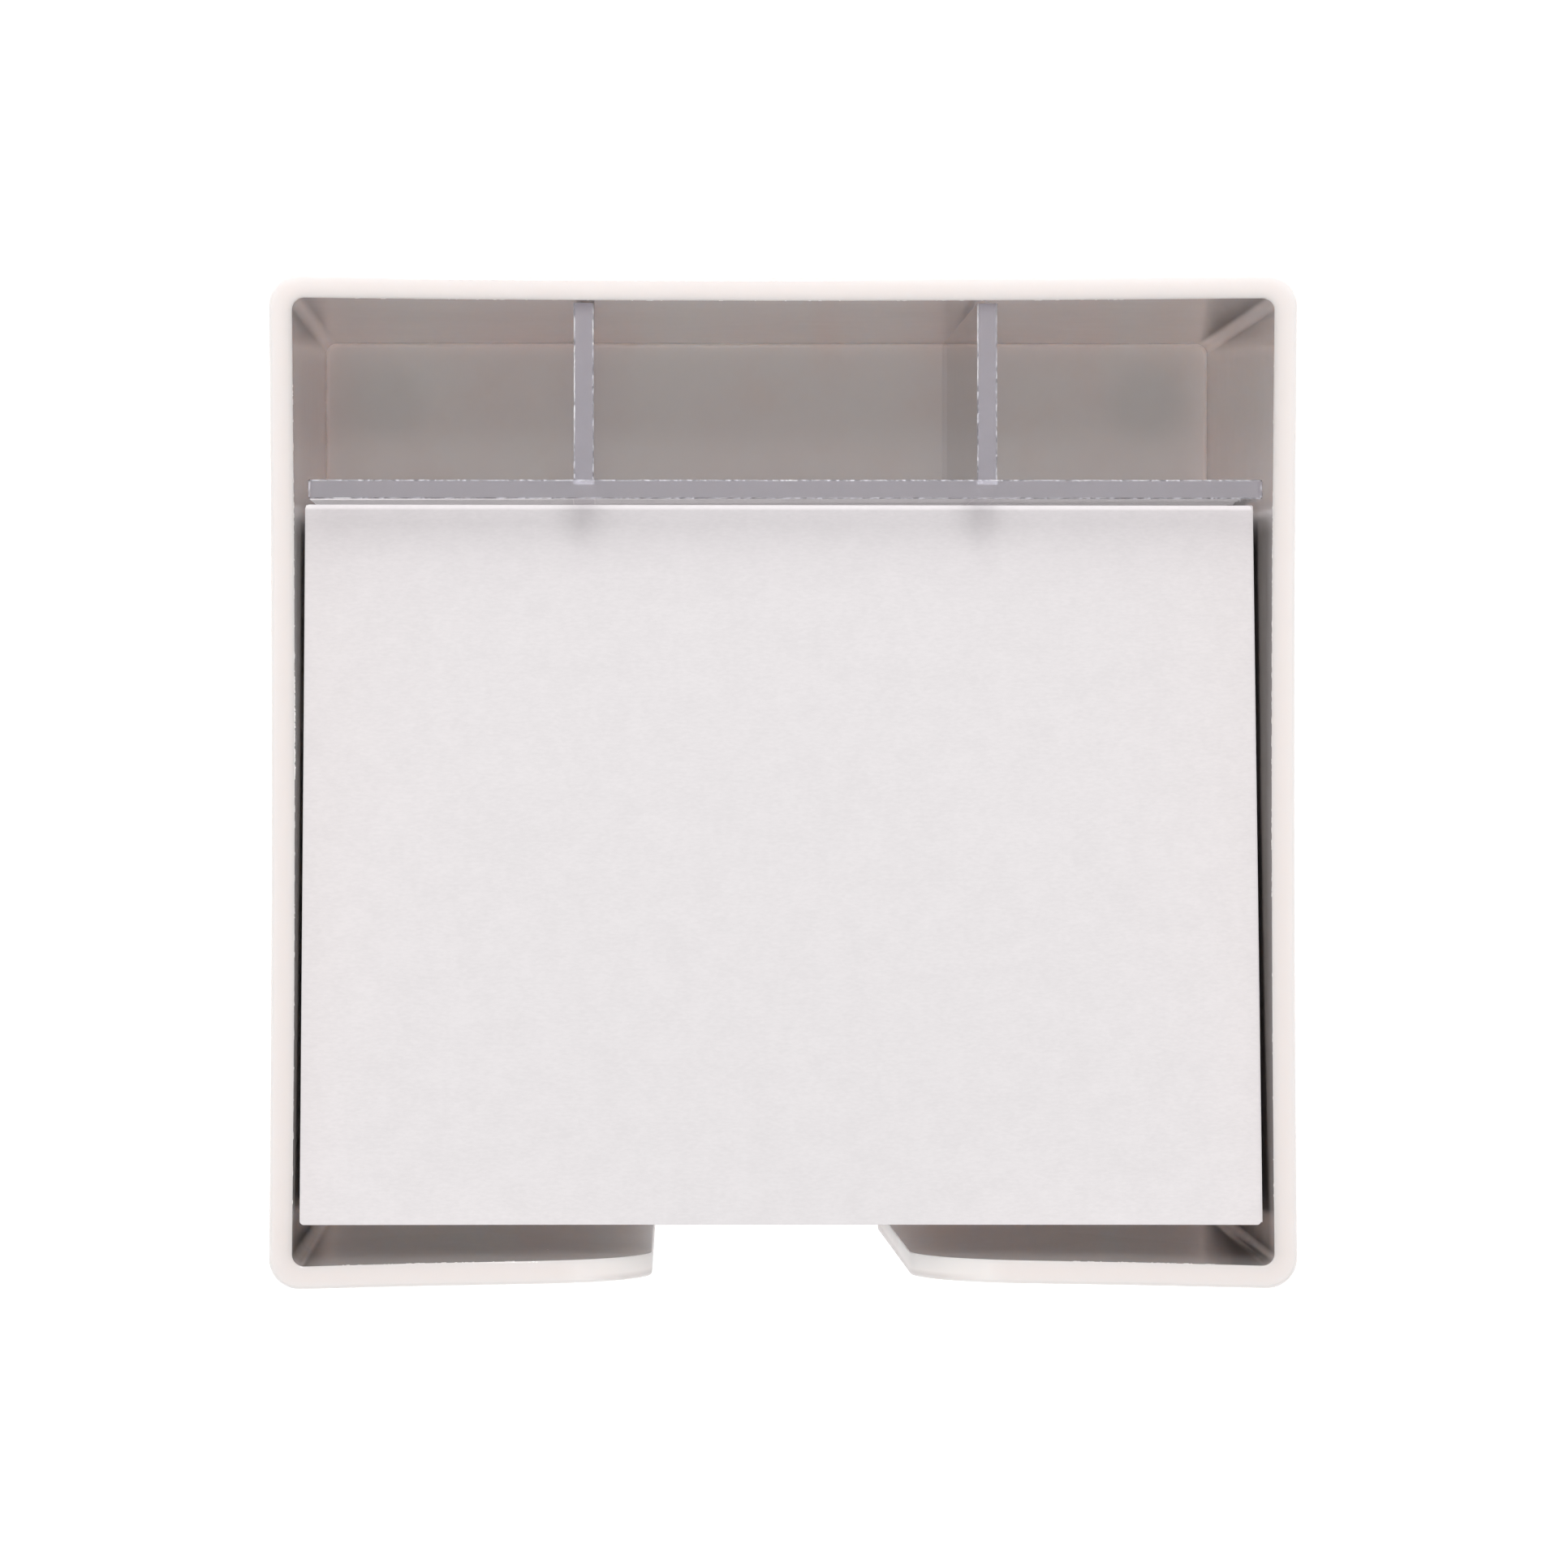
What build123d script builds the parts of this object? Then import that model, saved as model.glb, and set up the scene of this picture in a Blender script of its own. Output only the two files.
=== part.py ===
from build123d import *
import os
from math import radians, sqrt, tan

# Memo box: an open desk box for loose note sheets, with a drop-in clear divider
# that parts off three pen wells along the back.
# Millimetres, +Z up. The origin is on the desk, under the middle of the box.
# The front wall, with its finger notch, is at -Y and the pen wells are at +Y.

# Note sheets
sheet_width = 101.0
sheet_length = 76.8
sheet_thickness = 0.1
sheet_gap = 0.05  # air under the loose top sheet
headroom = 5.2  # from the rim down to the front edge of the top sheet
fan_rise = 11.3  # the loose pile stands this much higher at the front than at the back

# Moulded shell
wall = 2.45
floor = 2.2
inner_depth = 76.8  # from the rim down to the floor
corner_radius = 3.2  # outside corners, in plan
inner_corner = 1.25  # inside corners, in plan
rim_round = 0.35  # outer edge of the rim
rim_break = 0.12  # inner edge of the rim, almost sharp
base_round = 1.2
floor_round = 0.4
draft = 0.2  # degrees, walls closer together at the floor
wall_bow = 0.3  # back and side walls are drawn in this much at the middle of the rim
front_bow = 0.8  # the notched front wall is drawn in more
side_play = 0.75  # sheet to side wall, at the rim
front_play = 3.15  # sheet to front wall
back_play = 0.15  # sheet to divider

# Finger notch in the front wall, running down into a thumb cut-out in the floor
notch_width = 27.5
notch_draft = 0.6  # degrees, notch sides closer together at the floor
shoulder_radius = 12.1
thumb_radius = 10.0

# Clear divider insert
divider_thickness = 2.0
divider_play = 1.3  # divider end to side wall, at the rim
divider_shift = 0.25  # the insert lies loose, a little off centre
divider_drop = 1.5  # top edge below the rim
divider_corner = 0.6  # rounding of its lower corners
plate_bevel = 0.15  # bevel of the plates' top edges
pen_well = 18.9  # back wall to divider
partition_thickness = 2.1
partition_drop = 0.5  # partition tops below the divider's top
partition_gap = 0.15  # partition to back wall
middle_well = 40.1  # between the two partitions
housing_depth = 0.5  # grooves in the divider that seat the partitions
housing_gap = 0.05
seat_depth = 0.8  # groove in the floor that seats the divider
seat_gap = 0.15

# Rubber feet in round recesses under the floor
foot_diameter = 7.0
foot_proud = 1.0
foot_recess = 0.6
foot_inset = 9.6  # foot centre to the outside of the wall
foot_bevel = 0.4
foot_gap = 0.1

# Gate mark left in the middle of the base
gate_diameter = 5.0
gate_depth = 0.4

# Sizes and levels that follow from those above
inner_width = sheet_width + 2 * side_play
inner_length = front_play + sheet_length + back_play + divider_thickness + pen_well
box_width = inner_width + 2 * wall
box_length = inner_length + 2 * wall
base_level = foot_proud
floor_level = base_level + floor
rim_level = floor_level + inner_depth
inner_lean = inner_depth * tan(radians(draft))
outer_lean = (rim_level - base_level) * tan(radians(draft))
front_inside = -inner_length / 2
back_inside = inner_length / 2
notch_start = front_inside + front_bow + wall
notch_half = notch_width / 2
notch_half_low = notch_half - (rim_level - base_level) * tan(radians(notch_draft))
divider_width = inner_width - 2 * divider_play
divider_back = back_inside - pen_well
divider_front = divider_back - divider_thickness
divider_foot = floor_level - seat_depth
divider_top = rim_level - divider_drop
partition_top = divider_top - partition_drop
partition_back = back_inside - inner_lean - partition_gap
partition_offset = (middle_well + partition_thickness) / 2
stack_back = divider_front - back_play
stack_run = sqrt(sheet_length**2 - fan_rise**2)
sheet_front_top = rim_level - headroom
sheet_front_low = sheet_front_top - sheet_thickness
stack_front_top = sheet_front_low - sheet_gap
foot_spots = {
    f"foot_{row}_{side}": (x * (box_width / 2 - foot_inset), y * (box_length / 2 - foot_inset))
    for row, y in (("front", -1), ("back", 1))
    for side, x in (("left", -1), ("right", 1))
}


def plan(level, width, length, radius, bow=0.0, bow_at_front=0.0):
    """Plan outline at one height, its sides straight or bowed inward, its corners rounded."""
    x, y = width / 2, length / 2
    corners = [(-x, -y), (x, -y), (x, y), (-x, y)]
    middles = [(0, bow_at_front - y), (x - bow, 0), (0, y - bow), (bow - x, 0)]
    with BuildSketch(Plane.XY.offset(level)) as outline:
        with BuildLine():
            for start, middle, end in zip(corners, middles, corners[1:] + corners[:1]):
                if bow > 0:
                    ThreePointArc(start, middle, end)
                else:
                    Line(start, end)
        make_face()
        fillet(outline.vertices(), radius)
    return outline.sketch


def on_outside(edge):
    """True for an edge of the rim that is nearer to the outside of the wall than to its inside."""
    middle = edge.center()
    return max(abs(middle.X) - inner_width / 2, abs(middle.Y) - inner_length / 2) > wall / 2


# Shell: floor and drafted walls in one moulding, straight at the floor and bowed at the rim
outer_low = plan(base_level, box_width - 2 * outer_lean, box_length - 2 * outer_lean, corner_radius)
outer_high = plan(rim_level, box_width, box_length, corner_radius, wall_bow, front_bow)
inner_low = plan(floor_level, inner_width - 2 * inner_lean, inner_length - 2 * inner_lean, inner_corner)
inner_high = plan(rim_level, inner_width, inner_length, inner_corner, wall_bow, front_bow)

with BuildPart() as shell:
    loft([outer_low, outer_high], ruled=True)
    fillet(shell.faces().sort_by(Axis.Z)[0].edges(), base_round)
    loft([inner_low, inner_high], ruled=True, mode=Mode.SUBTRACT)
    inside_floor = shell.faces().filter_by(Axis.Z).sort_by(Axis.Z)[1]
    fillet(inside_floor.edges(), floor_round)

    # Finger notch with rounded shoulders
    with BuildSketch(Plane.XZ.offset(-notch_start)) as notch:
        with BuildLine():
            Polyline(
                (-notch_half_low, base_level),
                (notch_half_low, base_level),
                (notch_half, rim_level),
                (-notch_half, rim_level),
                close=True,
            )
        make_face()
    extrude(amount=notch_start + box_length / 2, mode=Mode.SUBTRACT)
    rim_edges = shell.edges().filter_by(Axis.Y).group_by(Axis.Z)[-1]
    fillet(rim_edges.sort_by(lambda edge: abs(edge.center().X))[:2], shoulder_radius)

    # Thumb cut-out in the floor behind the notch
    with BuildSketch(Plane.XY.offset(base_level)) as thumb:
        with Locations((0, notch_start)):
            Circle(thumb_radius)
    extrude(amount=floor, mode=Mode.SUBTRACT)

    # The rim's edges are rounded all the way down the notch sides, the outer ones more
    rim = shell.faces().filter_by(Axis.Z).sort_by(Axis.Z)[-1]
    fillet(rim.edges().filter_by(Axis.Y, reverse=True).filter_by(on_outside), rim_round)
    rim = shell.faces().filter_by(Axis.Z).sort_by(Axis.Z)[-1]
    fillet(rim.edges().filter_by(Axis.Y, reverse=True).filter_by(on_outside, reverse=True), rim_break)

    # Seat for the divider in the floor
    with BuildSketch(Plane.XY.offset(floor_level)) as seat:
        with Locations((0, (divider_front + divider_back) / 2)):
            Rectangle(divider_width + 2 * (divider_shift + seat_gap), divider_thickness + 2 * seat_gap)
    extrude(amount=-seat_depth, mode=Mode.SUBTRACT)

    # Foot recesses and gate mark in the base
    with BuildSketch(Plane.XY.offset(base_level)) as recesses:
        with Locations(*foot_spots.values()):
            Circle(foot_diameter / 2 + foot_gap)
    extrude(amount=foot_recess, mode=Mode.SUBTRACT)
    with BuildSketch(Plane.XY.offset(base_level)) as gate:
        Circle(gate_diameter / 2)
    extrude(amount=gate_depth, mode=Mode.SUBTRACT)

# Rubber feet
feet = {}
for name, spot in foot_spots.items():
    with BuildPart() as foot:
        with BuildSketch() as disc:
            with Locations(spot):
                Circle(foot_diameter / 2)
        extrude(amount=foot_proud + foot_recess)
        chamfer(foot.edges().group_by(Axis.Z)[0], foot_bevel)
    feet[name] = foot

# Cross divider, with a stopped groove in its back face for each partition
with BuildPart() as cross_divider:
    with BuildSketch(Plane.XZ.offset(-divider_back)) as plate:
        with Locations((divider_shift, (divider_foot + divider_top) / 2)):
            Rectangle(divider_width, divider_top - divider_foot)
        fillet(plate.vertices().group_by(Axis.Z)[0], divider_corner)
    extrude(amount=divider_thickness)
    chamfer(cross_divider.edges().group_by(Axis.Z)[-1], plate_bevel)
    with BuildSketch(Plane.XZ.offset(-divider_back)) as housings:
        for side in (-1, 1):
            with Locations((divider_shift + side * partition_offset, divider_foot)):
                Rectangle(
                    partition_thickness + 2 * housing_gap,
                    partition_top + housing_gap - divider_foot,
                    align=(Align.CENTER, Align.MIN),
                )
    extrude(amount=housing_depth, mode=Mode.SUBTRACT)

# Partitions between the pen wells
partitions = {}
for name, side in (("left_partition", -1), ("right_partition", 1)):
    with BuildPart() as partition:
        with BuildSketch(Plane.XY.offset(floor_level + housing_gap)) as strip:
            with Locations((divider_shift + side * partition_offset, divider_back - housing_depth)):
                Rectangle(
                    partition_thickness,
                    partition_back - divider_back + housing_depth,
                    align=(Align.CENTER, Align.MIN),
                )
        extrude(amount=partition_top - floor_level - housing_gap)
        chamfer(partition.edges().group_by(Axis.Z)[-1].filter_by(Axis.Y), plate_bevel)
    partitions[name] = partition

# Pile of note sheets, pressed flat at the back and standing loose at the front
with BuildPart() as memo_stack:
    with BuildSketch(Plane.YZ) as pile:
        with BuildLine():
            Polyline(
                (stack_back, floor_level),
                (stack_back - sheet_length, floor_level),
                (stack_back - stack_run, stack_front_top),
                (stack_back, stack_front_top - fan_rise),
                close=True,
            )
        make_face()
    extrude(amount=sheet_width / 2, both=True)

# Loose sheet on top of the pile
with BuildPart() as top_sheet:
    with BuildSketch(Plane.YZ) as leaf:
        with BuildLine():
            Polyline(
                (stack_back, sheet_front_low - fan_rise),
                (stack_back - stack_run, sheet_front_low),
                (stack_back - stack_run, sheet_front_top),
                (stack_back, sheet_front_top - fan_rise),
                close=True,
            )
        make_face()
    extrude(amount=sheet_width / 2, both=True)

pieces = {
    "shell": shell,
    **feet,
    "cross_divider": cross_divider,
    **partitions,
    "memo_stack": memo_stack,
    "top_sheet": top_sheet,
}
os.makedirs("parts", exist_ok=True)
for name, piece in pieces.items():
    piece.part.label = name
    export_step(piece.part, f"parts/{name}.step")
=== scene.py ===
"""Memo box: a white moulded box with a clear insert, a fanned pile of note sheets and rubber feet."""

import math
import random

import bmesh
import bpy
from bpy.props import FloatProperty, FloatVectorProperty, IntProperty, PointerProperty
from mathutils import Matrix, Vector


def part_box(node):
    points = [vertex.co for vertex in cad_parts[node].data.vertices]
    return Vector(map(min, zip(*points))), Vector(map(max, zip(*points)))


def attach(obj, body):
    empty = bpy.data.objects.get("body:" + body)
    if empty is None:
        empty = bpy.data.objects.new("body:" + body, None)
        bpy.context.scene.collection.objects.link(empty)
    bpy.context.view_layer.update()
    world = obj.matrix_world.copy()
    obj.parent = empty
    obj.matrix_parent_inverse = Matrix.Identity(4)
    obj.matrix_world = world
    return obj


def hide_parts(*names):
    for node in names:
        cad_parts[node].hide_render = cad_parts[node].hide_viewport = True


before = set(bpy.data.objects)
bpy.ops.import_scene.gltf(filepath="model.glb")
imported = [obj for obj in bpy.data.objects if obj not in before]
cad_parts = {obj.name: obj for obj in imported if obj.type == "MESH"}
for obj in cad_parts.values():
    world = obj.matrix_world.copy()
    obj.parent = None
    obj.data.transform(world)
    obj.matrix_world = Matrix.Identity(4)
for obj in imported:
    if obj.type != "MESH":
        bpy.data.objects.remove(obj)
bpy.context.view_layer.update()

bl_info = {
    "name": "Memo Box",
    "version": (1, 0, 0),
    "blender": (4, 5, 0),
    "location": "View3D > Sidebar > Memo Box",
    "description": "Dresses the memo box: moulded shell, clear insert, note sheets, feet and studio",
    "category": "Object",
}

MM = 0.001
SHEET_THICKNESS = 0.1 * MM


# Shader building


class Finish:
    """A material being made: its nodes, the object's own coordinates and its output."""

    def __init__(self, name):
        self.material = bpy.data.materials.new(name)
        self.material.use_nodes = True
        self.tree = self.material.node_tree
        self.tree.nodes.clear()
        self.output = self.tree.nodes.new("ShaderNodeOutputMaterial")
        self.place = self.add("ShaderNodeTexCoord").outputs["Object"]

    def feed(self, socket, value):
        """Link an output to the socket, or set the socket's own value."""
        if isinstance(value, bpy.types.NodeSocket):
            self.tree.links.new(value, socket)
        else:
            socket.default_value = value

    def add(self, kind, settings=None, inputs=None):
        """Add a node with its settings and its inputs."""
        node = self.tree.nodes.new(kind)
        for key, value in (settings or {}).items():
            setattr(node, key, value)
        for key, value in (inputs or {}).items():
            self.feed(node.inputs[key], value)
        return node

    def noise(self, size, detail=3.0, roughness=0.5, where=None):
        """Noise whose lumps are about size metres across, from 0 to 1."""
        values = {
            "Vector": where or self.place,
            "Scale": 1.0 / size,
            "Detail": detail,
            "Roughness": roughness,
        }
        return self.add("ShaderNodeTexNoise", inputs=values).outputs["Fac"]

    def stretched(self, scale):
        """Object coordinates stretched by a scale on each axis."""
        values = {"Vector": self.place, "Scale": scale}
        return self.add("ShaderNodeMapping", {"vector_type": "POINT"}, values).outputs["Vector"]

    def remap(self, value, low, high, new_low, new_high):
        """Carry a range of values over to another one, held at its ends."""
        values = {"Value": value, "From Min": low, "From Max": high, "To Min": new_low, "To Max": new_high}
        return self.add("ShaderNodeMapRange", {"clamp": True}, values).outputs["Result"]

    def math(self, operation, first, second=0.0):
        """One step of arithmetic on two values."""
        return self.add("ShaderNodeMath", {"operation": operation}, {0: first, 1: second}).outputs["Value"]

    def rise(self, value, start, end):
        """A mask that goes from 0 to 1 between two values."""
        return self.remap(value, start, end, 0.0, 1.0)

    def fall(self, value, start, end):
        """A mask that goes from 1 to 0 between two values."""
        return self.remap(value, start, end, 1.0, 0.0)

    def product(self, *masks):
        """All the masks multiplied together."""
        total = masks[0]
        for mask in masks[1:]:
            total = self.math("MULTIPLY", total, mask)
        return total

    def distance(self, value, middle):
        """How far a value is from a middle one."""
        return self.math("ABSOLUTE", self.math("SUBTRACT", value, middle))

    def facing(self, axis):
        """How squarely the surface faces along an axis, either way."""
        normal = self.add("ShaderNodeTexCoord").outputs["Normal"]
        return self.math("ABSOLUTE", self.add("ShaderNodeSeparateXYZ", inputs={0: normal}).outputs[axis])

    def mix(self, share, first, second):
        """Mix two colours."""
        node = self.add("ShaderNodeMix", {"data_type": "RGBA"})
        self.feed(node.inputs["Factor"], share)
        self.feed(node.inputs[6], first)
        self.feed(node.inputs[7], second)
        return node.outputs[2]

    def axes(self):
        """The object's own X, Y and Z in metres."""
        return self.add("ShaderNodeSeparateXYZ", inputs={0: self.place}).outputs

    def specks(self, spacing, radius, share):
        """Rare round specks: a mask that is 1 inside a speck."""
        cells = self.add("ShaderNodeTexVoronoi", inputs={"Vector": self.place, "Scale": 1.0 / spacing})
        reach = radius / spacing
        inside = self.fall(cells.outputs["Distance"], 0.6 * reach, reach)
        tone = self.add("ShaderNodeSeparateColor", inputs={0: cells.outputs["Color"]}).outputs[0]
        kept = self.math("LESS_THAN", tone, share)
        return self.product(inside, kept)

    def bump(self, height, depth, strength=1.0, under=None):
        """A bump whose relief is depth metres high."""
        values = {"Height": height, "Distance": depth, "Strength": strength}
        if under is not None:
            values["Normal"] = under
        return self.add("ShaderNodeBump", inputs=values).outputs["Normal"]

    def shade(self, **inputs):
        """End in one shader, whose inputs are named with underscores for spaces."""
        values = {key.replace("_", " "): value for key, value in inputs.items()}
        shader = self.add("ShaderNodeBsdfPrincipled", inputs=values)
        self.tree.links.new(shader.outputs["BSDF"], self.output.inputs["Surface"])
        return self.material


def rgba(colour, tone=1.0):
    """A colour property with full opacity, made darker by a tone below 1."""
    return (tone * colour[0], tone * colour[1], tone * colour[2], 1.0)


def partition_middles():
    """Where the middles of the left and right partitions are across the box."""
    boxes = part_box("left_partition"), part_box("right_partition")
    return [0.5 * (low.x + high.x) for low, high in boxes]


def wear(node_name, material):
    """Give a node of the part its finish."""
    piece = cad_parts.get(node_name)
    if piece is None:
        raise RuntimeError("the part has no piece named " + node_name)
    piece.data.materials.clear()
    piece.data.materials.append(material)


def piece_from(name, builder, material, body):
    """Turn a built mesh into a named piece that rides on a body."""
    mesh = bpy.data.meshes.new(name)
    builder.to_mesh(mesh)
    builder.free()
    mesh.materials.append(material)
    piece = bpy.data.objects.new(name, mesh)
    bpy.context.scene.collection.objects.link(piece)
    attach(piece, body)
    return piece


# Looks that a user may change


class MemoBoxShellLook(bpy.types.PropertyGroup):
    """Finish of the moulded shell."""

    ivory: FloatVectorProperty(
        name="Ivory",
        description="Colour of the moulded plastic",
        subtype="COLOR",
        size=3,
        min=0.0,
        max=1.0,
        default=(0.945, 0.875, 0.85),
    )
    # Colour of the faint stains low inside the box, also of the painted shade in the gaps beside the pile
    stain_and_gap_shade: FloatVectorProperty(
        name="Stain",
        description="Colour of the faint handling marks low inside the box",
        subtype="COLOR",
        size=3,
        min=0.0,
        max=1.0,
        default=(0.80, 0.70, 0.62),
    )
    glow_depth: FloatProperty(
        name="Glow Depth",
        description="How far light spreads inside the plastic",
        subtype="DISTANCE",
        unit="LENGTH",
        min=0.0,
        default=2.5 * MM,
    )
    roughness: FloatProperty(
        name="Roughness",
        description="Softness of the reflections on the plastic",
        subtype="FACTOR",
        min=0.0,
        max=1.0,
        default=0.06,
    )
    polish: FloatProperty(
        name="Polish",
        description="Strength of the polished skin on the plastic",
        subtype="FACTOR",
        min=0.0,
        max=1.0,
        default=1.0,
    )
    # Painted shade on the outer faces: their tone beside that of the rim
    outer_shade: FloatProperty(
        name="Outer Tone",
        description="Tone of the outer faces beside that of the rim",
        subtype="FACTOR",
        min=0.0,
        max=1.0,
        default=0.81,
    )
    # Strength of the painted shade in the narrow gaps beside the pile
    gap_shade_strength: FloatProperty(
        name="Rub",
        description="Strength of the marks that the sheets rubbed into the side walls",
        subtype="FACTOR",
        min=0.0,
        max=1.0,
        default=0.7,
    )
    hollow: FloatProperty(
        name="Hollow",
        description="Slope of the walls where they sink in below the rim",
        min=0.0,
        max=0.1,
        default=0.04,
    )
    burr_width: FloatProperty(
        name="Burr Width",
        description="Widest burr left on the inner edge of the rim",
        subtype="DISTANCE",
        unit="LENGTH",
        min=0.0,
        default=0.24 * MM,
    )
    burr_seed: IntProperty(
        name="Burr Seed",
        description="Changes the pattern of the burrs",
        default=7,
    )


class MemoBoxInsertLook(bpy.types.PropertyGroup):
    """Finish of the clear insert."""

    tint: FloatVectorProperty(
        name="Tint",
        description="Colour of the clear plastic seen through its thickness",
        subtype="COLOR",
        size=3,
        min=0.0,
        max=1.0,
        default=(0.86, 0.85, 0.90),
    )
    absorption: FloatProperty(
        name="Absorption",
        description="How strongly the clear plastic takes up light, per metre",
        min=0.0,
        default=14.0,
    )
    frost: FloatProperty(
        name="Frost",
        description="Roughness of the cut edges on top of the plates",
        subtype="FACTOR",
        min=0.0,
        max=1.0,
        default=0.55,
    )
    chalk: FloatProperty(
        name="Chalk",
        description="Share of white saw dust on the cut edges",
        subtype="FACTOR",
        min=0.0,
        max=1.0,
        default=0.15,
    )
    hollow: FloatProperty(
        name="Hollow",
        description="Slope of the plates' faces where they sink in below their top edges",
        min=0.0,
        max=0.1,
        default=0.03,
    )
    chip_width: FloatProperty(
        name="Chip Width",
        description="Widest chip left by the cutter along a top edge",
        subtype="DISTANCE",
        unit="LENGTH",
        min=0.0,
        default=0.16 * MM,
    )
    chip_seed: IntProperty(
        name="Chip Seed",
        description="Changes the pattern of the chips",
        default=11,
    )


class MemoBoxPaperLook(bpy.types.PropertyGroup):
    """Sizes and finish of the note sheets."""

    white: FloatVectorProperty(
        name="White",
        description="Colour of the paper",
        subtype="COLOR",
        size=3,
        min=0.0,
        max=1.0,
        default=(0.80, 0.772, 0.782),
    )
    layers: IntProperty(
        name="Layers",
        description="Layers of sheets that show along the edges of the pile",
        min=10,
        max=600,
        default=300,
    )
    layer_thickness: FloatProperty(
        name="Layer Thickness",
        description="Thickness of one layer",
        subtype="DISTANCE",
        unit="LENGTH",
        min=0.0,
        default=0.17 * MM,
    )
    looseness: FloatProperty(
        name="Looseness",
        description="How far a sheet strays sideways in the pile",
        subtype="DISTANCE",
        unit="LENGTH",
        min=0.0,
        default=0.22 * MM,
    )
    wave: FloatProperty(
        name="Wave",
        description="Height of the slow wave in the upper sheets",
        subtype="DISTANCE",
        unit="LENGTH",
        min=0.0,
        default=0.12 * MM,
    )
    curl: FloatProperty(
        name="Curl",
        description="Rise of the top sheet's back edge and corners",
        subtype="DISTANCE",
        unit="LENGTH",
        min=0.0,
        default=0.5 * MM,
    )
    corner: FloatProperty(
        name="Corner",
        description="Radius of the sheets' corners",
        subtype="DISTANCE",
        unit="LENGTH",
        min=0.0,
        default=0.45 * MM,
    )
    turn: FloatProperty(
        name="Turn",
        description="Turn of the top sheet on the pile",
        subtype="ANGLE",
        unit="ROTATION",
        default=math.radians(-0.05),
    )
    seed: IntProperty(
        name="Seed",
        description="Changes how the sheets lie",
        default=4,
    )


class MemoBoxFeetLook(bpy.types.PropertyGroup):
    """Finish of the rubber feet."""

    rubber: FloatVectorProperty(
        name="Rubber",
        description="Colour of the rubber",
        subtype="COLOR",
        size=3,
        min=0.0,
        max=1.0,
        default=(0.74, 0.73, 0.72),
    )
    roughness: FloatProperty(
        name="Roughness",
        description="Softness of the reflections on the rubber",
        subtype="FACTOR",
        min=0.0,
        max=1.0,
        default=0.62,
    )
    glow_depth: FloatProperty(
        name="Glow Depth",
        description="How far light spreads inside the rubber",
        subtype="DISTANCE",
        unit="LENGTH",
        min=0.0,
        default=1.5 * MM,
    )


class MemoBoxStageLook(bpy.types.PropertyGroup):
    """Camera, light and floor."""

    eye: FloatVectorProperty(
        name="Eye",
        description="Where the camera stands",
        subtype="TRANSLATION",
        unit="LENGTH",
        size=3,
        default=(-17.5 * MM, 4.8 * MM, 771.0 * MM),
    )
    aim: FloatVectorProperty(
        name="Aim",
        description="Point that the camera looks at",
        subtype="TRANSLATION",
        unit="LENGTH",
        size=3,
        default=(-9.9 * MM, 4.8 * MM, 80.0 * MM),
    )
    lens: FloatProperty(
        name="Lens",
        description="Focal length of the camera in millimetres",
        min=1.0,
        default=152.2,
    )
    shift: FloatVectorProperty(
        name="Shift",
        description="Shift of the frame across and up",
        size=2,
        default=(0.0608, -0.0305),
    )
    sky: FloatProperty(
        name="Sky",
        description="Brightness of the even light all round",
        min=0.0,
        default=0.31,
    )
    softbox: FloatProperty(
        name="Softbox",
        description="Power of the tall light behind the box",
        subtype="POWER",
        unit="POWER",
        min=0.0,
        default=6.6,
    )
    overhead: FloatProperty(
        name="Overhead",
        description="Power of the light high above the box",
        subtype="POWER",
        unit="POWER",
        min=0.0,
        default=5.0,
    )
    floor_glow: FloatProperty(
        name="Floor Glow",
        description="Light that the white table gives off",
        min=0.0,
        default=0.8,
    )
    under_glow: FloatProperty(
        name="Under Glow",
        description="Light that the white table gives off under the box",
        min=0.0,
        default=0.2,
    )


class MemoBoxLook(bpy.types.PropertyGroup):
    """All looks of the memo box."""

    shell: PointerProperty(type=MemoBoxShellLook, name="Shell", description="Moulded shell")
    insert: PointerProperty(type=MemoBoxInsertLook, name="Insert", description="Clear insert")
    paper: PointerProperty(type=MemoBoxPaperLook, name="Paper", description="Note sheets")
    feet: PointerProperty(type=MemoBoxFeetLook, name="Feet", description="Rubber feet")
    stage: PointerProperty(type=MemoBoxStageLook, name="Stage", description="Camera, light and floor")


# Finishes


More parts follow.
